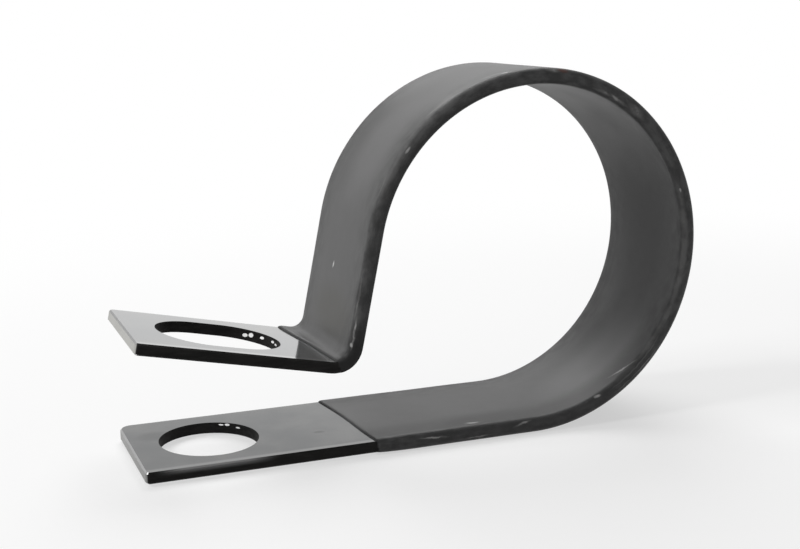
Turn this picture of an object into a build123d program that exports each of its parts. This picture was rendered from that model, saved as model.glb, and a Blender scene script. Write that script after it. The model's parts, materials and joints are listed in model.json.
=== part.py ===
from build123d import *
import os

# Conduit clamp: one flat steel strap folded into an open loop, with a vinyl coat on the loop and bare tabs.
# Millimetres and degrees. The origin is on the conduit's axis, midway across the strap.
# +X runs from the tabs' free ends towards the loop, +Y across the strap and +Z up.

# Strap stock, sheared square but for the lower tab's back corner
strap_width = 19.0
strap_thickness = 1.5
edge_break = 0.2
sheared_corner_radius = 0.6
rounded_corner_radius = 1.6

# Loop and fold
conduit_bore = 45.0
loop_wrap = 259.0
leg_length = 14.9
fold_inner_radius = 2.0
upper_tab_rise = 11.5

# Tabs and their holes
lower_end_to_axis = 53.2
upper_tab_length = 25.1
bolt_hole_diameter = 13.0
bolt_hole_to_end = 10.1
slot_width = 13.0
slot_length = 16.4
slot_to_end = 4.3

# Vinyl coat. Each dip line crosses the strap askew, and lies nearer its tab's free end at the back edge
coat_thickness = 0.35
coat_edge_crown = 0.6
coat_lip_radius = 0.2
bare_lower_length = 30.1
lower_dip_skew = 1.6
upper_dip_before_fold_end = 1.0
upper_dip_skew = 2.5

# Worked out from the sizes above
loop_radius = conduit_bore / 2 + coat_thickness + strap_thickness / 2
fold_radius = fold_inner_radius + strap_thickness / 2
fold_turn = loop_wrap + upper_tab_rise - 180
coated_width = strap_width + 2 * coat_thickness
coated_thickness = strap_thickness + 2 * coat_thickness
lower_dip_front = lower_end_to_axis - bare_lower_length


def strap_line(lower_run, upper_run):
    """Middle line of the strap, with the given straight runs before the loop and after the fold."""
    with BuildLine(Plane.XZ) as line:
        lower = Line((-lower_run, -loop_radius), (0, -loop_radius))
        loop = JernArc(lower @ 1, lower % 1, loop_radius, loop_wrap)
        leg = PolarLine(loop @ 1, leg_length, direction=loop % 1)
        fold = JernArc(leg @ 1, leg % 1, fold_radius, -fold_turn)
        PolarLine(fold @ 1, upper_run, direction=fold % 1)
    return line.wires()[0]


def across(line):
    """Plane across the start of a line, with its x along the strap's width."""
    return Plane(origin=line @ 0, x_dir=(0, 1, 0), z_dir=line % 0)


def tab_plane(run_start, towards_end):
    """Middle plane of a tab: x runs from the start of its straight run to its free end, y to the front, z up."""
    return Plane(origin=run_start, x_dir=towards_end, z_dir=towards_end.cross(Vector(0, -1, 0)))


def dip_plane(tab, front, skew):
    """Upright plane on a dip line, facing the tab's free end, from the line's place at the strap's front edge."""
    middle = tab.from_local_coords((front + skew / 2, 0, 0))
    return Plane(origin=middle, x_dir=tab.z_dir, z_dir=tab.x_dir * strap_width + tab.y_dir * skew)


def end_corners(strap, tab):
    """The two edges through the thickness at a tab's free end, front first."""
    upright = strap.edges().filter_by(Axis(tab.origin, tab.z_dir))
    return upright.sort_by(Axis(tab.origin, tab.x_dir))[-2:].sort_by(Axis.Y)


strap_path = strap_line(lower_end_to_axis, upper_tab_length)
lower_tab = tab_plane(Vector(0, 0, -loop_radius), Vector(-1, 0, 0))
upper_tab = tab_plane(strap_path @ 1 - (strap_path % 1) * upper_tab_length, strap_path % 1)

# Steel strap: the flat stock swept along its path, then its corners, broken edges, bolt hole and slot
with BuildPart() as steel_strap:
    with BuildSketch(across(strap_path)):
        Rectangle(strap_width, strap_thickness)
    sweep(path=strap_path)

    fillet(end_corners(steel_strap, upper_tab), sheared_corner_radius)
    fillet(end_corners(steel_strap, lower_tab).first, sheared_corner_radius)
    fillet(end_corners(steel_strap, lower_tab).last, rounded_corner_radius)
    chamfer(steel_strap.faces().filter_by(Axis.Y).edges(), edge_break)

    with BuildSketch(lower_tab):
        with Locations((lower_end_to_axis - bolt_hole_to_end, 0)):
            Circle(bolt_hole_diameter / 2)
    extrude(amount=strap_thickness, both=True, mode=Mode.SUBTRACT)

    with BuildSketch(upper_tab):
        with Locations((upper_tab_length - slot_to_end - slot_length / 2, 0)):
            SlotOverall(slot_length, slot_width)
    extrude(amount=strap_thickness, both=True, mode=Mode.SUBTRACT)

# Vinyl coat: a sleeve with crowned edges swept along the same path, cut off at each dip line, its lips
# rounded over, and hollowed by the strap that it was dipped on
with BuildPart() as vinyl_coat:
    coat_path = strap_line(lower_dip_front + 2 * lower_dip_skew, upper_dip_skew)
    with BuildSketch(across(coat_path)):
        half_flat = coated_width / 2 - coat_edge_crown
        half_thickness = coated_thickness / 2
        with BuildLine():
            inner_flat = Line((-half_flat, half_thickness), (half_flat, half_thickness))
            back_edge = SagittaArc(inner_flat @ 1, (half_flat, -half_thickness), coat_edge_crown)
            outer_flat = Line(back_edge @ 1, (-half_flat, -half_thickness))
            SagittaArc(outer_flat @ 1, inner_flat @ 0, coat_edge_crown)
        make_face()
    sweep(path=coat_path)

    for dip in (
        dip_plane(lower_tab, lower_dip_front, lower_dip_skew),
        dip_plane(upper_tab, -upper_dip_before_fold_end, upper_dip_skew),
    ):
        with BuildSketch(dip):
            Rectangle(2 * fold_radius, 2 * coated_width)
        extrude(amount=strap_width, mode=Mode.SUBTRACT)
        fillet(vinyl_coat.faces().filter_by(dip).edges(), coat_lip_radius)

    add(steel_strap.part, mode=Mode.SUBTRACT)

steel_strap.part.label = "steel_strap"
vinyl_coat.part.label = "vinyl_coat"

os.makedirs("parts", exist_ok=True)
export_step(steel_strap.part, "parts/steel_strap.step")
export_step(vinyl_coat.part, "parts/vinyl_coat.step")
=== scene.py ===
# %% [markdown]
# # A vinyl-coated conduit clamp
# The clamp is one strip of plated steel, bent round into a loop that stays open at the mouth. Its two bare
# tabs close on a bolt, and the loop between them was dipped in dark vinyl, which grips the conduit and
# keeps it from chafing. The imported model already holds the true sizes, so this lesson starts from it and
# measures everything else from it: the steel keeps its CAD solid and gets a finish, and the coat becomes a
# finer, hand-dipped skin.

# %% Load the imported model
import json
import math

import bpy
import bmesh
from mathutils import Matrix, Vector, noise


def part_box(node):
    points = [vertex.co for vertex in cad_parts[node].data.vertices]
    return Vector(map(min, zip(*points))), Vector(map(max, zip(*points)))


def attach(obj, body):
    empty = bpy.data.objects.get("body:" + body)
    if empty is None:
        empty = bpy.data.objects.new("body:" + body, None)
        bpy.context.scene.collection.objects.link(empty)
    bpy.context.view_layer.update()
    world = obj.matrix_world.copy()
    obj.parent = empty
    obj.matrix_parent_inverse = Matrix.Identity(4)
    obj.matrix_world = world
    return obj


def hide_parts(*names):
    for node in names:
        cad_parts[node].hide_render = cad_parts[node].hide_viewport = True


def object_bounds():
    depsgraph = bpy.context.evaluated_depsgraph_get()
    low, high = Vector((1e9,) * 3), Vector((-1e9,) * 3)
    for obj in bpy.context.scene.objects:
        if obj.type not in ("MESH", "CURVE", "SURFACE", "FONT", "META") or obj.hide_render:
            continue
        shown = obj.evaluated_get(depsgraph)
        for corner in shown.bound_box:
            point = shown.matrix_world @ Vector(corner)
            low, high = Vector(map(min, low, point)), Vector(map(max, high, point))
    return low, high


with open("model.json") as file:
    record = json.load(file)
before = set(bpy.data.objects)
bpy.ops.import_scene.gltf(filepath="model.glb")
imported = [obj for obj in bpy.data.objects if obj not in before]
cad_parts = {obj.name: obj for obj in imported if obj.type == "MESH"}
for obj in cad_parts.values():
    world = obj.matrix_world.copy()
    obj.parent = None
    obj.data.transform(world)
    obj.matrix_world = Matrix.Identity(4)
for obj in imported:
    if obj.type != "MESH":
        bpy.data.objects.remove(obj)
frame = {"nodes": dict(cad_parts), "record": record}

cad_box = [list(corner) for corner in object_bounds()]
steel_strap = frame["nodes"]["steel_strap"]
millimetre = 0.001

print("nodes:", sorted(frame["nodes"]))
print("size in mm:", [round((high - low) / millimetre, 2) for low, high in zip(*cad_box)])

# %% [markdown]
# ## The camera
# The photograph looks at the clamp from its front left, a little above the horizon, through a lens of about
# 56 mm held close, which makes the tabs loom. A camera is easiest to place by what it looks at: a target on
# the clamp, two angles and a distance. Its own axes then follow from the line back to the target.

# %% Camera
view_azimuth = math.radians(-22.39)
view_elevation = math.radians(11.93)
view_distance = 168.35 * millimetre
view_target = Vector((-16.13, 0.0, -3.12)) * millimetre
lens_length = 55.94

towards_camera = Vector((
    math.sin(view_azimuth) * math.cos(view_elevation),
    -math.cos(view_azimuth) * math.cos(view_elevation),
    math.sin(view_elevation),
))
camera_data = bpy.data.cameras.new("camera")
camera_data.lens = lens_length
camera_data.clip_start = 5 * millimetre
camera = bpy.data.objects.new("camera", camera_data)
camera.location = view_target + view_distance * towards_camera
camera.rotation_euler = towards_camera.to_track_quat("Z", "Y").to_euler()
bpy.context.scene.collection.objects.link(camera)
bpy.context.scene.camera = camera
print("camera in mm:", [round(place / millimetre, 1) for place in camera.location])

# %% [markdown]
# ## Building shaders in code
# A finish here is a tree of small nodes, which could be drawn by hand in the shader editor. Written as code
# it can be read from top to bottom, and a few helpers keep it short. The main one adds a node, sets its
# properties and fills its inputs: a number is typed into the socket, and another node's output is wired to
# it. The others are for what comes up all the time: a step of arithmetic, a soft step and a blend of two
# colours.

# %% Shader helpers
def new_finish(name):
    """Starts an empty material and gives back the material and its node tree."""
    material = bpy.data.materials.new(name)
    material.use_nodes = True
    material.node_tree.nodes.clear()
    return material, material.node_tree


def add_node(tree, kind, inputs=None, **properties):
    """Adds a shader node with its properties and its inputs, given by name or number."""
    node = tree.nodes.new("ShaderNode" + kind)
    for name, value in properties.items():
        setattr(node, name, value)
    for name, value in (inputs or {}).items():
        if isinstance(value, bpy.types.NodeSocket):
            tree.links.new(value, node.inputs[name])
        else:
            node.inputs[name].default_value = value
    return node


def calculate(tree, operation, first, second=0.0, third=0.0):
    """One step of arithmetic on numbers or sockets, as a socket."""
    return add_node(tree, "Math", {0: first, 1: second, 2: third}, operation=operation).outputs[0]


def fade(tree, value, start, end, low=0.0, high=1.0):
    """A soft step from low to high while the value goes from start to end."""
    step = add_node(
        tree, "MapRange", {"Value": value, "From Min": start, "From Max": end, "To Min": low, "To Max": high},
        interpolation_type="SMOOTHSTEP",
    )
    return step.outputs["Result"]


def blend_colours(tree, amount, first, second):
    """Mixes two colours, given as sockets or as four numbers."""
    mix = add_node(tree, "Mix", {"Factor": amount, "A": first, "B": second}, data_type="RGBA")
    return mix.outputs["Result"]


def grey(level, warmth=0.0):
    """A grey as four numbers, a little warmer or cooler than neutral."""
    return (level * (1 + warmth), level, level * (1 - warmth), 1.0)


print("a slightly warm grey as four numbers:", grey(0.5, 0.01))

# %% [markdown]
# ## The white table
# The clamp stands on its flat lower run. Small goods are photographed on a white table whose far part is
# lit so strongly that it has no edge and no horizon. A curved backdrop would do that too, but one large
# card is enough here. Near the clamp it is plain white card and takes the clamp's shadow, and further out
# it fades into pure white for every ray that looks at it, from the camera or off the mirror-like steel. Its
# bounced light is that of a greyer card, because a white one would wash out the clamp's dark undersides.

# %% Floor
floor_height = cad_box[0][2]
floor_half_width = 3.0
shadow_reach = 0.09
white_from = 0.22
near_glow = 0.55
white_seen = grey(0.96)
grey_bounced = grey(0.40)


def make_floor():
    """One large square card at the height of the clamp's underside."""
    square = ((-1, -1), (1, -1), (1, 1), (-1, 1))
    corners = [(x * floor_half_width, y * floor_half_width, floor_height) for x, y in square]
    mesh = bpy.data.meshes.new("white_table")
    mesh.from_pydata(corners, [], [(0, 1, 2, 3)])
    table = bpy.data.objects.new("white_table", mesh)
    bpy.context.scene.collection.objects.link(table)
    return table


def looked_at(tree):
    """1 on rays from the camera, a mirror or glass, and 0 on light that bounces."""
    path = add_node(tree, "LightPath").outputs
    seen = calculate(tree, "MAXIMUM", path["Is Camera Ray"], path["Is Glossy Ray"])
    return calculate(tree, "MAXIMUM", seen, path["Is Transmission Ray"])


def card_finish():
    """White card that takes shadows near the clamp and turns into plain white further out."""
    material, tree = new_finish("white_card")
    seen = looked_at(tree)
    card_colour = blend_colours(tree, seen, grey_bounced, white_seen)
    card = add_node(tree, "BsdfDiffuse", {"Color": card_colour})
    glow = add_node(tree, "Emission", {"Color": grey(1.0), "Strength": 1.0})
    place = add_node(tree, "TexCoord").outputs["Object"]
    distance = add_node(tree, "VectorMath", {0: place}, operation="LENGTH").outputs["Value"]
    far = calculate(tree, "MULTIPLY", seen, fade(tree, distance, shadow_reach, white_from, near_glow, 1.0))
    surface = add_node(tree, "MixShader", {0: far, 1: card.outputs[0], 2: glow.outputs[0]})
    add_node(tree, "OutputMaterial", {"Surface": surface.outputs[0]})
    return material


table = make_floor()
table.data.materials.append(card_finish())
print("floor at z =", round(floor_height / millimetre, 2), "mm")

# %% [markdown]
# ## Soft light
# The photograph's upper faces are lit and its front edges are nearly black, so the light comes from above,
# from the left and from behind. Two large lamps give that, and the world adds an even, weaker light from
# all round. The lamps' power is set so that a white card facing them comes out just white, and colours then
# render about as they are written. The camera sees a white world. The steel mirrors it too, white at the
# height of the table and dimmer above, as the room round such a table is, and that is why the two tabs
# differ in tone: the upper one leans back and mirrors the white, the flat one mirrors the room.

# %% World and lamps
ambient_level = 0.17
room_level = 0.46
room_from = 0.10
room_full = 0.40

world = bpy.data.worlds.new("studio")
world.use_nodes = True
bpy.context.scene.world = world
world_tree = world.node_tree
world_tree.nodes.clear()
path = add_node(world_tree, "LightPath").outputs
direction = add_node(world_tree, "TexCoord").outputs["Generated"]
upwards = add_node(world_tree, "SeparateXYZ", {0: direction}).outputs["Z"]
mirrored = fade(world_tree, upwards, room_from, room_full, 1.0, room_level)
behind_object = calculate(world_tree, "MAXIMUM", path["Is Camera Ray"], path["Is Transmission Ray"])
level = fade(world_tree, path["Is Glossy Ray"], 0.0, 1.0, ambient_level, mirrored)
level = fade(world_tree, behind_object, 0.0, 1.0, level, 1.0)
world_light = add_node(world_tree, "Background", {"Color": grey(1.0), "Strength": level})
add_node(world_tree, "OutputWorld", {"Surface": world_light.outputs[0]})


def add_lamp(name, place, width, power):
    """A square soft lamp aimed at the clamp, with its place in metres and its power in watts."""
    lamp_data = bpy.data.lights.new(name, "AREA")
    lamp_data.size = width
    lamp_data.energy = power
    lamp = bpy.data.objects.new(name, lamp_data)
    lamp.location = place
    lamp.rotation_euler = lamp.location.to_track_quat("Z", "Y").to_euler()
    bpy.context.scene.collection.objects.link(lamp)
    return lamp


lamps = (
    add_lamp("back_lamp", (0.10, 0.40, 0.54), 0.50, 3.2),
    add_lamp("left_lamp", (-0.54, 0.00, 0.46), 0.25, 2.1),
)
bpy.context.scene.view_settings.view_transform = "Standard"
print("lamps:", {lamp.name: lamp.data.energy for lamp in lamps})

# %% [markdown]
# ## The strap's middle line
# Everything on this clamp follows one line: a flat lower run, the loop, a nearly straight leg, a sharp fold
# back and the upper tab. The coat could be made by thickening the steel's surface, but a skin that is swept
# along this line gives each point two plain coordinates, how far along and how far across, and the dip
# lines, scuffs and nicks can then be placed as they would be on the flat strip. The sizes are read from the
# frame where it states them, and only the bends' angles, radii and straight lengths are written here.

# %% Strap sizes and line
mounts = {mount["name"]: mount for mount in frame["record"]["mounts"]}
strap_low, strap_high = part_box("steel_strap")
coat_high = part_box("vinyl_coat")[1]
strap_half_width = strap_high.y
coat_thickness = coat_high.z - strap_high.z
conduit_radius = mounts["conduit_loop"]["dims"]["r_mm"] * millimetre
strap_half_thickness = (strap_high.z - conduit_radius - coat_thickness) / 2
loop_radius = strap_high.z - strap_half_thickness

loop_turn = math.radians(259.0)
leg_length = 14.9 * millimetre
fold_radius = 2.0 * millimetre + strap_half_thickness
tab_rise = math.radians(11.5)
fold_turn = loop_turn + tab_rise - math.pi
upper_tab_length = 25.1 * millimetre

bends = (
    (loop_radius * loop_turn, loop_turn),
    (leg_length, 0.0),
    (fold_radius * fold_turn, -fold_turn),
    (upper_tab_length, 0.0),
)
fold_end = sum(length for length, _ in bends[:3])


def heading_vector(heading):
    """The direction along the strap, in the XZ plane, for a heading in radians."""
    return Vector((math.cos(heading), 0.0, math.sin(heading)))


def strap_place(along):
    """Where the middle line is, and its heading, this far past the start of the loop."""
    place = Vector((0.0, 0.0, -loop_radius))
    heading = 0.0
    if along < 0:
        return place + along * heading_vector(heading), heading
    for length, turn in bends:
        run = min(along, length)
        swing = turn * run / length
        if turn:
            quarter = math.radians(90)
            start_arm = heading_vector(heading - quarter)
            end_arm = heading_vector(heading + swing - quarter)
            place = place + (length / turn) * (end_arm - start_arm)
        else:
            place = place + run * heading_vector(heading)
        heading += swing
        along -= run
    return place, heading


print("strap thickness in mm:", round(2 * strap_half_thickness / millimetre, 3))
print("fold ends in mm at:", [round(v / millimetre, 2) for v in strap_place(fold_end)[0]])

# %% [markdown]
# ## The dipped coat as a mesh
# A dipped skin is thin on the flats, round at the edges, never quite even, and it ends on each tab in a
# small rounded lip that wanders across the strip. So the mesh is a stack of rings. Each ring is the strap's
# section made larger by the coat, the first and last rings shrink back onto the steel to form the lips, and
# a second set of rings lies on the steel inside, which closes the skin into one solid sleeve.

# %% Section of the coat
corner_radius_coated = 1.0 * millimetre
corner_radius_bare = 0.2 * millimetre
flat_steps = 26
corner_steps = 7
edge_steps = 3


def straight_points(start, end, steps):
    """Evenly spaced points from start up to, but not with, end."""
    return [start.lerp(end, step / steps) for step in range(steps)]


def section_points(half_width, half_thickness, corner):
    """A rounded rectangle as (across, lift) points, from the middle of the back edge, round the inside of the
    loop, the front edge and the outside."""
    points = []
    centre_across = half_width - corner
    centre_lift = half_thickness - corner
    quadrants = ((1, 1, edge_steps), (-1, 1, flat_steps), (-1, -1, 2 * edge_steps), (1, -1, flat_steps))
    before = Vector((half_width, 0.0))
    for index, (side, face, steps) in enumerate(quadrants):
        centre = Vector((side * centre_across, face * centre_lift))
        first_turn = math.radians(90) * index
        rim = [
            centre + corner * Vector((math.cos(first_turn + swing), math.sin(first_turn + swing)))
            for swing in (math.radians(90) * step / corner_steps for step in range(corner_steps + 1))
        ]
        points += straight_points(before, rim[0], steps)
        points += rim[:-1]
        before = rim[-1]
    points += straight_points(before, Vector((half_width, 0.0)), edge_steps)
    return points


def girth_places(points):
    """How far each section point is round the section, with 0 at the middle of the front edge."""
    closed = points + points[:1]
    places = [0.0]
    for one, other in zip(closed, closed[1:]):
        places.append(places[-1] + (other - one).length)
    return [place - places[-1] / 2 for place in places]


def section_at(cover):
    """The section where the coat is this thick, from bare steel to the full coat."""
    share = cover / coat_thickness
    corner = corner_radius_bare + (corner_radius_coated - corner_radius_bare) * share
    return section_points(strap_half_width + cover, strap_half_thickness + cover, corner)


full_section = section_at(coat_thickness)
girth = girth_places(full_section)
print("points round the section:", len(full_section), " girth in mm:", round(2 * girth[-1] / millimetre, 2))

# %% [markdown]
# The two dip lines cross the strip askew, as they do when a clamp is held by hand over the bath. Each is a
# straight slant with a slight wave in it. Along the strip the rings simply slide from one dip line to the
# other, so that they lean like the lines near the lips and stand square to the strip where nobody could see
# a difference.

# %% Dip lines and rings
# places along the strip are counted from the start of the loop
lower_dip_at = -24.0 * millimetre
lower_dip_slant = -1.6 * millimetre
upper_dip_at = fold_end + 0.3 * millimetre
upper_dip_slant = 2.5 * millimetre
dip_wave = 0.13 * millimetre
dip_wave_turn = math.radians(390)
dip_wave_start = 0.8
lip_length = 0.42 * millimetre
lip_steps = 7
feather_length = 6.0 * millimetre
ring_spacing = 0.5 * millimetre
unevenness = 0.07 * millimetre
wave_size = 7 * millimetre


def dip_line(middle, slant, across, lift):
    """How far along the strap a dip line lies, at this place round the section."""
    share = across / (2 * strap_half_width)
    wave = dip_wave * math.sin(dip_wave_turn * share + math.copysign(dip_wave_start, lift))
    return middle + slant * share + wave


def lip_stops(length):
    """Shares of the coat's length at which rings form a lip: close together at first, then wider."""
    turns = [math.radians(90) * step / lip_steps for step in range(lip_steps + 1)]
    return [lip_length * (1 - math.cos(turn)) / length for turn in turns]


def round_over(distance, length):
    """Height of a rounded lip, from 0 at its tip to 1 at this length behind it."""
    short = 1 - min(distance / length, 1.0)
    return math.sqrt(max(0.0, 1 - short ** 2))


def drained_shares(across, lift):
    """How far the vinyl ran thin below each lip, at this place round the section: 1 under the tab, 0 on its
    top. The underside is the outside of the strip at the lower lip, and its inside at the upper one."""
    inside = max(0.0, min(1.0, 0.5 + lift / strap_half_thickness))
    front_edge = max(0.0, min(1.0, (-across - strap_half_width + coat_thickness) / coat_thickness))
    return 1 - inside, max(inside, front_edge)


def cover_at(from_lower, from_upper, drained, spot):
    """Thickness of the coat this far from its two lips, thinned a little here and there."""
    cover = round_over(min(from_lower, from_upper), lip_length)
    for distance, share in zip((from_lower, from_upper), drained):
        cover *= 1 - share * (1 - round_over(distance, feather_length))
    thinning = unevenness * (0.5 + 0.5 * noise.noise(spot / wave_size))
    return (coat_thickness - max(0.0, min(thinning, unevenness))) * cover


def place_ring(share, thickness_share):
    """The points of one ring, at this share of the way between the dip lines."""
    ring = []
    for index, (across, lift) in enumerate(full_section):
        start = dip_line(lower_dip_at, lower_dip_slant, across, lift)
        end = dip_line(upper_dip_at, upper_dip_slant, across, lift)
        along = start + (end - start) * share
        middle, heading = strap_place(along)
        inwards = Vector((-math.sin(heading), 0.0, math.cos(heading)))
        spot = middle + Vector((0.0, across, 0.0)) + inwards * lift
        cover = cover_at(along - start, end - along, drained_shares(across, lift), spot) * thickness_share
        across_now, lift_now = section_at(cover)[index]
        point = middle + Vector((0.0, across_now, 0.0)) + inwards * lift_now
        ring.append((point, along, min(along - start, end - along)))
    return ring


print("coat in mm, from dip line to dip line:", round((upper_dip_at - lower_dip_at) / millimetre, 1))

# %% [markdown]
# Rings are joined by quads. Besides its place, each corner of a quad gets two pairs of map coordinates in
# millimetres. The first tells how far it is along the strap and round the section, from the middle of its
# front edge, and the second how far it is from the nearer lip. The finish uses them to put scuffs on the
# edges, streaks and painted highlights along the strip and a thin rim of painted shade at the lips.

# %% Coat mesh
def ring_shares():
    """Shares for the outer rings: a lip, even steps, and the other lip."""
    length = upper_dip_at - lower_dip_at
    lip = lip_stops(length)
    steps = round((length - 2 * lip_length) / ring_spacing)
    even = [lip[-1] + (1 - 2 * lip[-1]) * step / steps for step in range(1, steps)]
    return lip + even + [1 - share for share in reversed(lip)]


def make_coat():
    """The coat as one closed sleeve: outer rings from lip to lip, then inner rings back again."""
    outer = ring_shares()
    inner = outer[-2:0:-2]
    rings = [place_ring(share, 1.0) for share in outer] + [place_ring(share, 0.0) for share in inner]
    mesh_maker = bmesh.new()
    strap_map = mesh_maker.loops.layers.uv.new("strap_map")
    lip_map = mesh_maker.loops.layers.uv.new("lip_map")
    vertices = [[mesh_maker.verts.new(point) for point, _, _ in ring] for ring in rings]
    count = len(full_section)
    for row in range(len(rings)):
        next_row = (row + 1) % len(rings)
        for column in range(count):
            next_column = (column + 1) % count
            quad = ((row, column), (row, next_column), (next_row, next_column), (next_row, column))
            face = mesh_maker.faces.new([vertices[r][c] for r, c in quad])
            turns = (column, column + 1, column + 1, column)
            for loop, (r, c), turn in zip(face.loops, quad, turns):
                _, along, from_lip = rings[r][c]
                loop[strap_map].uv = (along / millimetre, girth[turn] / millimetre)
                loop[lip_map].uv = (from_lip / millimetre, 0.0)
    for row in (0, len(outer) - 1):
        for column in range(count):
            edge = mesh_maker.edges.get((vertices[row][column], vertices[row][(column + 1) % count]))
            edge.smooth = False
    bmesh.ops.recalc_face_normals(mesh_maker, faces=mesh_maker.faces)
    mesh = bpy.data.meshes.new("dipped_coat")
    mesh_maker.to_mesh(mesh)
    mesh_maker.free()
    for polygon in mesh.polygons:
        polygon.use_smooth = True
    coat = bpy.data.objects.new("dipped_coat", mesh)
    bpy.context.scene.collection.objects.link(coat)
    return coat


dipped_coat = make_coat()
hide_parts("vinyl_coat")
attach(dipped_coat, "root")
coat_mesh = dipped_coat.data
print("coat mesh:", len(coat_mesh.vertices), "points,", 2 * len(coat_mesh.polygons), "triangles")

# %% [markdown]
# ## Where a point lies on the coat
# The vinyl's finish asks of every point how far it is from the strip's edges and from the nearer lip. A
# painted picture could say so too, but the mesh's two maps already do, in millimetres and through every
# bend. Two noises in space, one slow and one quick, break up the distances wherever a border would
# otherwise be a ruled line.

# %% Places on the coat
# most values of a noise lie in this range, so a soft step over it uses the whole noise
noise_range = (0.3, 0.7)


def add_noise(tree, place, scale, detail, roughness=0.5):
    """The outputs of a cloudy noise: a number round one half, and a colour."""
    inputs = {"Vector": place, "Scale": scale, "Detail": detail, "Roughness": roughness}
    return add_node(tree, "TexNoise", inputs).outputs


def stretch(tree, place, scales):
    """A place drawn out or pressed together on each axis, which turns a noise on it into streaks."""
    return add_node(tree, "Mapping", {"Vector": place, "Scale": scales}).outputs[0]


def coat_places(tree):
    """What the vinyl's finish reads at each point: space in metres, and the maps in millimetres."""
    space = add_node(tree, "TexCoord").outputs["Object"]
    strip = add_node(tree, "UVMap", uv_map="strap_map").outputs["UV"]
    lip = add_node(tree, "UVMap", uv_map="lip_map").outputs["UV"]
    from_front = calculate(tree, "ABSOLUTE", add_node(tree, "SeparateXYZ", {0: strip}).outputs["Y"])
    from_back = calculate(tree, "SUBTRACT", girth[-1] / millimetre, from_front)
    return {
        "space": space,
        "strip": strip,
        "from_edge": calculate(tree, "MINIMUM", from_front, from_back),
        "from_lip": add_node(tree, "SeparateXYZ", {0: lip}).outputs["X"],
        "clouds": add_noise(tree, space, 75.0, 4.0, 0.6)["Fac"],
        "border": add_noise(tree, space, 210.0, 4.0, 0.62)["Fac"],
    }


print("front edge to back edge, round the section, in mm:", round(girth[-1] / millimetre, 2))

# %% [markdown]
# ## Bloom and mottle
# The vinyl is a charcoal plastic with a satin skin. Handling leaves a pale bloom on its broad faces, which
# thins out towards the edges in an uneven border, so the edges stay darker and mottled; that darkening is
# partly painted shade, for the rounded edges that turn away from the lamps. The bloom is therefore a soft
# step over the distance from an edge, made in two parts: most of it comes soon and the rest further in.

# %% Bloom and mottle
flat_greys = (grey(0.112), grey(0.155))
# the edges' greys are partly painted shade, for rounded edges that turn away from the lamps
edge_greys_and_painted_shade = (grey(0.056), grey(0.126))
mottle_range = (0.36, 0.68)
# millimetres from an edge between which each part of the bloom comes in, and its share
near_zone, near_bloom = (0.4, 2.4), 0.55
far_zone, far_bloom = (1.5, 6.5), 0.45
border_reach = 4.0


def unworn_vinyl(tree, coat):
    """The coat's colour before any wear: cloudy bloom on the flats, and darker mottled edges that are partly
    painted shade.
    """
    sway = calculate(tree, "SUBTRACT", coat["border"], 0.5)
    ragged_edge = calculate(tree, "MULTIPLY_ADD", sway, border_reach, coat["from_edge"])
    near_flat = fade(tree, ragged_edge, *near_zone, 0.0, near_bloom)
    far_flat = fade(tree, ragged_edge, *far_zone, 0.0, far_bloom)
    bloom = calculate(tree, "ADD", near_flat, far_flat)
    mottle = add_noise(tree, stretch(tree, coat["strip"], (0.45, 0.9, 1.0)), 0.9, 5.0, 0.55)["Fac"]
    flat_colour = blend_colours(tree, fade(tree, coat["clouds"], *noise_range), *flat_greys)
    edge_colour = blend_colours(tree, fade(tree, mottle, *mottle_range), *edge_greys_and_painted_shade)
    return blend_colours(tree, bloom, edge_colour, flat_colour)


print("bloom on the flats:", flat_greys[0][0], "to", flat_greys[1][0])

# %% [markdown]
# ## Marks that lie on the strip
# Streaks, nicks and patches were noted down by where they lie on the flat strip, so each is a soft oval on
# the strap map: how far along the strip and round its section, how long and wide, how far it leans, how
# strong. A picture of them would blur close up, while these stay sharp and can be moved by changing one
# number. The patches set the broad tones: a warmer, darker tone near the fold, painted light where the lamps
# reach, and painted shade on faces and edges that stay in the dark. The streaks are partly places where the
# vinyl was rubbed pale and partly painted highlights along the front edge.

# %% Marks on the strip
def soft_oval(tree, place, centre, radii, lean=0.0, rim=1.25, core=0.35):
    """A mask that is full at an oval's core and gone at its rim, both given as shares of its radii."""
    local = add_node(tree, "Mapping", {
        "Vector": place, "Location": centre, "Rotation": (0.0, 0.0, lean), "Scale": radii,
    }, vector_type="TEXTURE")
    reach = add_node(tree, "VectorMath", {0: local.outputs[0]}, operation="LENGTH").outputs["Value"]
    return fade(tree, reach, rim, core)


def gather_marks(tree, strip, marks):
    """All the marks of a list as one mask, from the strongest of them at each point."""
    mask = 0.0
    for along, round_section, length, width, lean, strength in marks:
        centre = (along, round_section, 0.0)
        radii = (length / 2, width / 2, 1.0)
        oval = soft_oval(tree, strip, centre, radii, math.radians(lean))
        mask = calculate(tree, "MAXIMUM", mask, calculate(tree, "MULTIPLY", oval, strength))
    return mask


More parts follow.
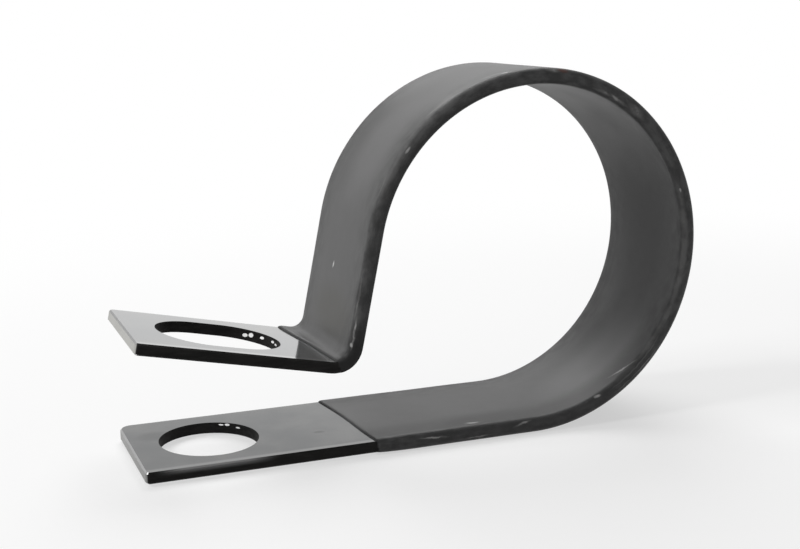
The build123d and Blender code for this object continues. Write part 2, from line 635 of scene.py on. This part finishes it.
# each mark: millimetres along the strip, round the section, long and wide, degrees of lean, strength
nicks = (
    (112.7, 11.4, 1.15, 0.42, 12, 1.0), (95.7, 0.6, 0.9, 0.45, 0, 0.5), (10.4, -0.9, 1.2, 0.55, 15, 0.6),
    (45.0, -0.6, 0.7, 0.35, 0, 0.6), (121.2, 0.9, 0.6, 0.5, 0, 0.6), (79.3, 1.7, 1.1, 0.4, 20, 0.60),
)
# streaks: rubbed wear, and painted highlights along the loop's front edge
streaks = (
    (119.6, 0.8, 4.4, 0.42, 0, 1.0), (114.8, 1.1, 5.5, 0.36, 0, 0.80), (16.3, -2.0, 5.8, 0.45, 21, 0.90),
    (19.5, -0.5, 14.0, 0.30, 0, 0.50), (17.5, 0.2, 11.0, 0.28, 1, 0.80), (-19.6, -0.5, 2.4, 0.9, 0, 0.45),
    (-15.1, -0.3, 4.6, 0.35, 3, 0.95), (-9.0, -2.4, 2.6, 0.6, 5, 0.95), (-2.1, -0.6, 3.0, 0.40, -14, 0.90),
    (-9.3, 0.4, 6.4, 0.35, -1, 0.95), (72.7, 0.8, 2.2, 0.8, 6, 0.85), (65.0, -0.5, 3.2, 0.5, 0, 0.75),
    (59.2, -0.2, 3.8, 1.2, 8, 0.95), (62.2, -0.5, 3.8, 0.6, 3, 0.92), (101.0, 1.4, 4.0, 0.5, 3, 0.45),
    (88.0, 2.0, 6.0, 0.6, 3, 0.50), (80.5, 2.4, 4.0, 0.6, -6, 0.50), (50.0, -1.7, 9.0, 0.5, 0, 0.35),
    (36.0, -0.8, 22.0, 1.1, 0, 0.55), (24.0, -0.9, 12.0, 0.9, 2, 0.60), (93.0, 0.8, 26.0, 1.8, 0, 0.30),
    (84.0, 2.6, 12.0, 1.6, -3, 0.25),
)
rust_spots = ((71.4, 0.9, 1.5, 0.9, 0, 0.75),)
# a warmer, darker tone near the fold
near_fold_patches = ((118.5, 9.0, 8.0, 15.0, 0, 0.45),)
# painted light: paler patches inside the loop low on the right and on its outer left side, where the lamps
# reach
painted_light_patches = ((16.0, -8.0, 22.0, 12.0, 0, 0.75), (96.0, 9.0, 18.0, 12.0, 0, 0.48))
# painted shade: inside the top right of the loop, on its outer top left, and on the lower run's flat near its
# front edge
painted_shade_patches = (
    (52.0, -10.0, 30.0, 16.0, 0, 0.62), (80.0, 9.0, 24.0, 16.0, 0, 0.28), (-1.0, -2.5, 58.0, 7.4, 0, 0.80),
)
# painted shade on stretches of the front edge that face away from the lamps
painted_shade_edges = (
    (123.4, -0.5, 11.0, 4.6, 0, 0.94), (40.0, 1.3, 44.0, 2.2, 0, 0.60), (96.0, -0.9, 50.0, 1.8, 0, 0.60),
)
print("nicks:", len(nicks), " streaks:", len(streaks), " shaded patches:", len(painted_shade_patches))

# %% [markdown]
# ## Ragged outlines and random wear
# Smooth ovals would look printed. A noise therefore shifts the strap map a little before the marks are
# placed on it, which makes their outlines ragged. Faint scuffs just inside both edges, repeated at random,
# fill in for wear that has no place of its own, so that no side of the clamp looks newer than the other.
# The skin itself is not quite smooth either, and its fine unevenness is too small to be worth any mesh, so
# it is a bump.

# %% Wear
# shifts of the map along the strip and round its section, in millimetres
ragged_shift = (0.9, 0.5, 0.0)
# millimetres from an edge between which the scuffs come in, and between which they end
scuffs_start, scuffs_end = (0.3, 0.8), (1.2, 2.6)
scuffed_range = (0.60, 0.74)
scuff_strength = 0.35
speck_height = 0.3
scuff_depth = 0.8


def ragged_strip(tree, coat):
    """The strap map, shifted a little by noise."""
    wobble = add_noise(tree, coat["space"], 900.0, 3.0)["Color"]
    sway = add_node(tree, "VectorMath", {0: wobble, 1: (-0.5, -0.5, -0.5)}, operation="ADD").outputs[0]
    inputs = {0: sway, 1: ragged_shift, 2: coat["strip"]}
    return add_node(tree, "VectorMath", inputs, operation="MULTIPLY_ADD").outputs[0]


def random_scuffs(tree, coat):
    """Faint scuffs drawn out along the strip, in a band just inside each edge."""
    wear = add_noise(tree, stretch(tree, coat["strip"], (0.30, 2.4, 1.0)), 1.5, 5.0, 0.65)["Fac"]
    off_edge = fade(tree, coat["from_edge"], *scuffs_start)
    near_edge = fade(tree, coat["from_edge"], *reversed(scuffs_end))
    band = calculate(tree, "MULTIPLY", off_edge, near_edge)
    return calculate(tree, "MULTIPLY", band, fade(tree, wear, *scuffed_range, 0.0, scuff_strength))


def satin_bump(tree, coat, scuffs):
    """The skin's fine unevenness, a little lower where it is scuffed."""
    specks = add_noise(tree, coat["space"], 2600.0, 2.0)["Fac"]
    skin = add_noise(tree, coat["space"], 700.0, 3.0)["Fac"]
    height = calculate(tree, "MULTIPLY_ADD", specks, speck_height, skin)
    height = calculate(tree, "MULTIPLY_ADD", scuffs, -scuff_depth, height)
    return add_node(tree, "Bump", {"Height": height, "Strength": 0.14, "Distance": 0.05 * millimetre})


print("scuffs lie", scuffs_start[0], "to", scuffs_end[1], "mm from an edge")

# %% [markdown]
# ## The finished vinyl
# The layers go on one over another, as paint would: first the broad tones with their painted light and
# shade, then the rubbed streaks and painted highlights, a spot of rust and the bright nicks, and last a thin
# rim of painted shade at each lip. The streaks thin out here and there, and the strongest wear and highlights
# are the palest. Rubbed vinyl is also a little duller than the satin skin round it.

# %% Vinyl
# pale greys for rubbed wear and for painted highlights
wear_and_highlight_greys = (grey(0.24, 0.01), grey(0.52, 0.01))
palest_wear_and_highlight = (0.55, 1.0)
nicked_grey = grey(0.80, 0.01)
# near black: painted shade on edges away from the lamps and at each lip
painted_deep_shade_grey = grey(0.010)
rust_tint = (0.120, 0.050, 0.037, 1.0)
# warmer and darker than the flats
near_fold_tint = (0.096, 0.093, 0.080, 1.0)
# painted light
painted_light_grey = grey(0.222)
# painted shade
painted_shade_grey = grey(0.065)
thin_range, thinnest = (0.36, 0.58), 0.35
# millimetres behind a lip between which the painted shade at the lip fades out, and its strength
lip_shade_zone, lip_shade_strength = (0.06, 0.18), 0.55
satin_roughness = (0.42, 0.52)
rubbed_roughness = 0.12


def vinyl_finish():
    """Charcoal vinyl: bloom on the flats, darker mottled edges, painted light and shade, streaks with painted
    highlights, nicks, and painted shade at the lips.
    """
    material, tree = new_finish("charcoal_vinyl")
    coat = coat_places(tree)
    strip = ragged_strip(tree, coat)
    scuffs = random_scuffs(tree, coat)
    thinning = fade(tree, coat["border"], *thin_range, thinnest, 1.0)
    rubbed_and_highlit = calculate(tree, "MULTIPLY", gather_marks(tree, strip, streaks), thinning)
    wear_and_highlights = calculate(tree, "MAXIMUM", scuffs, rubbed_and_highlit)
    wear_and_highlight_colour = blend_colours(tree, fade(tree, wear_and_highlights, *palest_wear_and_highlight), *wear_and_highlight_greys)
    # broad tones with painted light and shade, then wear and painted highlights, rust, nicks, and painted
    # shade at each lip
    layers = (
        (gather_marks(tree, strip, near_fold_patches), near_fold_tint),
        (gather_marks(tree, strip, painted_light_patches), painted_light_grey),
        (gather_marks(tree, strip, painted_shade_patches), painted_shade_grey),
        (gather_marks(tree, strip, painted_shade_edges), painted_deep_shade_grey),
        (wear_and_highlights, wear_and_highlight_colour),
        (gather_marks(tree, strip, rust_spots), rust_tint),
        (gather_marks(tree, strip, nicks), nicked_grey),
        # painted shade: a thin dark rim just behind each lip
        (fade(tree, coat["from_lip"], *reversed(lip_shade_zone), 0.0, lip_shade_strength), painted_deep_shade_grey),
    )
    colour = unworn_vinyl(tree, coat)
    for mask, layer_colour in layers:
        colour = blend_colours(tree, mask, colour, layer_colour)
    satin = fade(tree, coat["clouds"], *noise_range, *satin_roughness)
    shader = add_node(tree, "BsdfPrincipled", {
        "Base Color": colour, "IOR": 1.42, "Specular IOR Level": 0.28,
        "Roughness": calculate(tree, "MULTIPLY_ADD", wear_and_highlights, rubbed_roughness, satin),
        "Normal": satin_bump(tree, coat, scuffs).outputs["Normal"],
    })
    add_node(tree, "OutputMaterial", {"Surface": shader.outputs[0]})
    return material


dipped_coat.data.materials.append(vinyl_finish())
print("finish:", dipped_coat.data.materials[0].name)

# %% [markdown]
# ## Telling the steel's faces apart
# The strip was plated before it was slit and punched. Its broad faces carry bright zinc. Its slit edges,
# the corners broken along them and the walls of the two holes show torn steel, which is dull and is painted
# near black, partly as painted shade for walls that face away from the lamps, and its free ends were
# cropped, which left a duller grey. Each could be a material of its own, given face by face, but the packed
# solid stays as it is. So one material tells them apart by which way a point looks and by where it lies: a
# wall looks neither up nor down, and a cropped end looks along the strip close to where the strip stops.

# %% Faces of the steel
# parts of a unit normal between which one kind of face turns into the next
wall_turn = (0.93, 0.80)
end_turn = (-0.35, -0.50)
side_turn = (0.80, 0.55)
corner_turn = (0.35, 0.55)
# millimetres: how deep a cropped end reaches, how softly it stops, and the heights that part the tabs
end_depth = 2.2
end_softness = 0.4
tabs_part = (-20.0, -21.0)


def fade_over(tree, metres, start, end, low=0.0, high=1.0):
    """A soft step over a place in metres, with its start and end given in millimetres."""
    return fade(tree, metres, start * millimetre, end * millimetre, low, high)


def all_of(tree, *masks):
    """One mask that is full only where every one of these is."""
    product = masks[0]
    for mask in masks[1:]:
        product = calculate(tree, "MULTIPLY", product, mask)
    return product


def steel_faces(tree):
    """Masks for the kinds of face on the strip, and the places that they were told by."""
    coordinates = add_node(tree, "TexCoord").outputs
    looks = add_node(tree, "SeparateXYZ", {0: coordinates["Normal"]}).outputs
    where = add_node(tree, "SeparateXYZ", {0: coordinates["Object"]}).outputs
    up_or_down = calculate(tree, "ABSOLUTE", looks["Z"])
    wall = fade(tree, up_or_down, *wall_turn)
    end_starts = strap_low.x / millimetre + end_depth
    near_end = fade_over(tree, where["X"], end_starts + end_softness, end_starts)
    looks_out = fade(tree, looks["X"], *end_turn)
    not_sideways = fade(tree, calculate(tree, "ABSOLUTE", looks["Y"]), *side_turn)
    cropped = all_of(tree, near_end, looks_out, not_sideways)
    return {
        "space": coordinates["Object"],
        "where": where,
        "cropped": cropped,
        "cropped_wall": calculate(tree, "MULTIPLY", wall, cropped),
        "torn": calculate(tree, "MULTIPLY", wall, calculate(tree, "SUBTRACT", 1.0, cropped)),
        "broken_corner": fade(tree, up_or_down, *corner_turn),
        "low_tab": fade_over(tree, where["Z"], *tabs_part),
        "clouds": add_noise(tree, coordinates["Object"], 130.0, 3.0, 0.55)["Fac"],
    }


print("a cropped end is told by the last", end_depth, "mm")

# %% [markdown]
# ## Zinc and cropped ends
# Zinc plating is a cloudy light grey that mirrors what is round it. A painted highlight lies beside the slit
# edges, most of all along the front, and two small places on the lower tab are darker. A photograph of zinc
# could be laid on instead, but two greys and a noise do it without one. The cropped ends are one finish,
# painted darker on the lower tab as shade and lighter on the upper one as light, and the corners that were
# broken along them are lighter.

# %% Zinc and cropped ends
plated_greys = ((0.353, 0.358, 0.362, 1.0), (0.396, 0.398, 0.396, 1.0))
# painted highlight beside the slit edges
painted_edge_highlight_grey = grey(0.62)
# millimetres across the strip between which the painted highlight beside each edge comes in, and its share
front_zone, front_share = (-8.1, -8.9), 0.70
back_zone, back_share = (8.6, 9.2), 0.15
# two darker spots on the lower tab
darker_spot_grey = grey(0.16)
darker_spot_range, darker_spot_shares = (0.35, 0.6), (0.22, 0.42)
# each spot: its centre and its reach on each axis, in millimetres
darker_spots = (((-49.6, 3.6, -22.85), (2.6, 2.0, 1.0)), ((-29.0, -3.0, -22.85), (0.9, 0.5, 1.0)))
# one cropped finish, painted darker on the lower tab as shade and lighter on the upper one as light
lower_end_painted_shade_grey = (0.240, 0.240, 0.234, 1.0)
upper_end_painted_light_grey = (0.425, 0.422, 0.398, 1.0)
broken_grey = grey(0.46)


def gather_spots(tree, space, spots):
    """All the spots of a list as one mask."""
    mask = 0.0
    for centre, reach in spots:
        centre, reach = Vector(centre) * millimetre, Vector(reach) * millimetre
        spot = soft_oval(tree, space, centre, reach, rim=1.2, core=0.4)
        mask = calculate(tree, "MAXIMUM", mask, spot)
    return mask


def zinc_colour(tree, steel):
    """Cloudy zinc with a painted highlight beside the slit edges, and its darker spots."""
    across = steel["where"]["Y"]
    beside_front = fade_over(tree, across, *front_zone, 0.0, front_share)
    beside_back = fade_over(tree, across, *back_zone, 0.0, back_share)
    beside_edge = calculate(tree, "MAXIMUM", beside_front, beside_back)
    darkening = fade(tree, steel["clouds"], *darker_spot_range, *darker_spot_shares)
    darkening = calculate(tree, "MULTIPLY", gather_spots(tree, steel["space"], darker_spots), darkening)
    zinc = blend_colours(tree, fade(tree, steel["clouds"], *noise_range), *plated_greys)
    zinc = blend_colours(tree, beside_edge, zinc, painted_edge_highlight_grey)
    return blend_colours(tree, darkening, zinc, darker_spot_grey)


def cropped_colour(tree, steel):
    """The grey of a cropped end: painted darker as shade on the lower tab, lighter as light on the upper one.
    """
    end_colour = blend_colours(tree, steel["low_tab"], upper_end_painted_light_grey, lower_end_painted_shade_grey)
    return blend_colours(tree, steel["broken_corner"], end_colour, broken_grey)


print("dirty spots:", len(darker_spots), " zinc:", plated_greys[0][1], "to", plated_greys[1][1])

# %% [markdown]
# ## Torn steel
# Where a blade or a punch went through, the steel is torn: dull, with short streaks along the cut, and
# painted nearly black, partly as painted shade on walls that face away from the lamps.
# A blade first smooths its cut and then tears it, and along part of the lower tab's front edge the smooth
# band shows, in a lighter grey. A few bright flecks stand out in the walls of the two holes. They are
# placed one by one, as the marks on the coat are, and the streaks make their outlines ragged.

# %% Torn steel
# torn steel painted near black, partly as painted shade on walls facing away from the lamps
torn_greys_with_painted_shade = (grey(0.003, 0.1), grey(0.016, 0.05))
streak_range = (0.35, 0.65)
smooth_grey = grey(0.26)
fleck_width = 0.42
fleck_range, fleck_raggedness = (0.55, 0.80), 0.5
# each fleck: its centre and its reach upwards, in millimetres
hole_flecks = (
    ((-40.05, 5.73, -23.16), 0.13), ((-39.35, 5.25, -23.12), 0.19), ((-38.11, 4.16, -23.34), 0.12),
    ((-36.45, 5.42, -10.88), 0.30), ((-35.76, 4.92, -10.84), 0.36), ((-34.62, 3.61, -11.02), 0.22),
    ((-33.76, 1.60, -11.18), 0.20), ((-33.62, 0.70, -11.36), 0.15),
)


def smooth_band(tree, steel):
    """Mask for the smooth band along part of the lower tab's front edge."""
    where = steel["where"]
    upper_half = fade_over(tree, where["Z"], -23.62, -23.05)
    past_end = fade_over(tree, where["X"], -52.4, -48.0)
    before_coat = fade_over(tree, where["X"], -36.0, -41.0)
    on_front = fade_over(tree, where["Y"], -9.2, -9.3)
    return all_of(tree, upper_half, past_end, before_coat, on_front, steel["low_tab"])


def torn_colour(tree, steel, cut_streaks):
    """Torn steel painted nearly black, partly as painted shade, and lighter along its smooth band."""
    torn = blend_colours(tree, fade(tree, cut_streaks, *streak_range), *torn_greys_with_painted_shade)
    return blend_colours(tree, smooth_band(tree, steel), torn, smooth_grey)


def bright_flecks(tree, steel, cut_streaks):
    """Mask for the flecks in the holes' walls."""
    spots = [(centre, (fleck_width, fleck_width, reach_up)) for centre, reach_up in hole_flecks]
    flecks = gather_spots(tree, steel["space"], spots)
    flecks = calculate(tree, "MULTIPLY_ADD", cut_streaks, fleck_raggedness, flecks)
    return fade(tree, flecks, *fleck_range)


print("flecks in the holes:", len(hole_flecks))

# %% [markdown]
# ## The finished steel
# The kinds of face are laid over one another, and so are their degrees of polish. Plating is a mirror with
# a fine grain along the strip, and a cropped end is half as dull as a torn one. Torn metal scatters light
# rather than mirroring it, so it is shaded as a rough, dark surface that isn't metal, and only the plating,
# the cropped ends and the flecks are metal.

# %% Steel
fleck_grey = grey(0.95)
plated_roughness = (0.07, 0.12)
grain_roughness = 0.04
torn_roughness = 0.5
cropped_dullness = 0.5
cloud_height = 0.5


def steel_finish():
    """Bright plating with a painted highlight along its edges, duller cropped ends, and torn metal painted
    dark, partly as shade, on the slit edges and in the holes.
    """
    material, tree = new_finish("plated_steel")
    steel = steel_faces(tree)
    torn = steel["torn"]
    cut_streaks = add_noise(tree, stretch(tree, steel["space"], (0.35, 1.0, 1.8)), 900.0, 4.0, 0.6)["Fac"]
    flecks = bright_flecks(tree, steel, cut_streaks)
    layers = (
        (steel["cropped_wall"], cropped_colour(tree, steel)),
        (torn, torn_colour(tree, steel, cut_streaks)),
        (calculate(tree, "MULTIPLY", flecks, torn), fleck_grey),
    )
    colour = zinc_colour(tree, steel)
    for mask, layer_colour in layers:
        colour = blend_colours(tree, mask, colour, layer_colour)

    grain = add_noise(tree, stretch(tree, steel["space"], (0.05, 1.0, 1.0)), 9000.0, 3.0, 0.6)["Fac"]
    height = calculate(tree, "MULTIPLY_ADD", steel["clouds"], cloud_height, grain)
    bump = add_node(tree, "Bump", {"Height": height, "Strength": 0.05, "Distance": 0.01 * millimetre})
    polish = fade(tree, steel["clouds"], *noise_range, *plated_roughness)
    polish = calculate(tree, "MULTIPLY_ADD", grain, grain_roughness, polish)
    duller = calculate(tree, "MULTIPLY", steel["cropped"], cropped_dullness)
    duller = calculate(tree, "MAXIMUM", torn, duller)
    shader = add_node(tree, "BsdfPrincipled", {
        "Base Color": colour, "Specular IOR Level": 0.15,
        "Metallic": calculate(tree, "MAXIMUM", calculate(tree, "SUBTRACT", 1.0, torn), flecks),
        "Roughness": calculate(tree, "MULTIPLY_ADD", duller, torn_roughness, polish),
        "Normal": bump.outputs["Normal"],
    })
    add_node(tree, "OutputMaterial", {"Surface": shader.outputs[0]})
    return material


steel_strap.data.materials.clear()
steel_strap.data.materials.append(steel_finish())
print("finish:", steel_strap.data.materials[0].name)
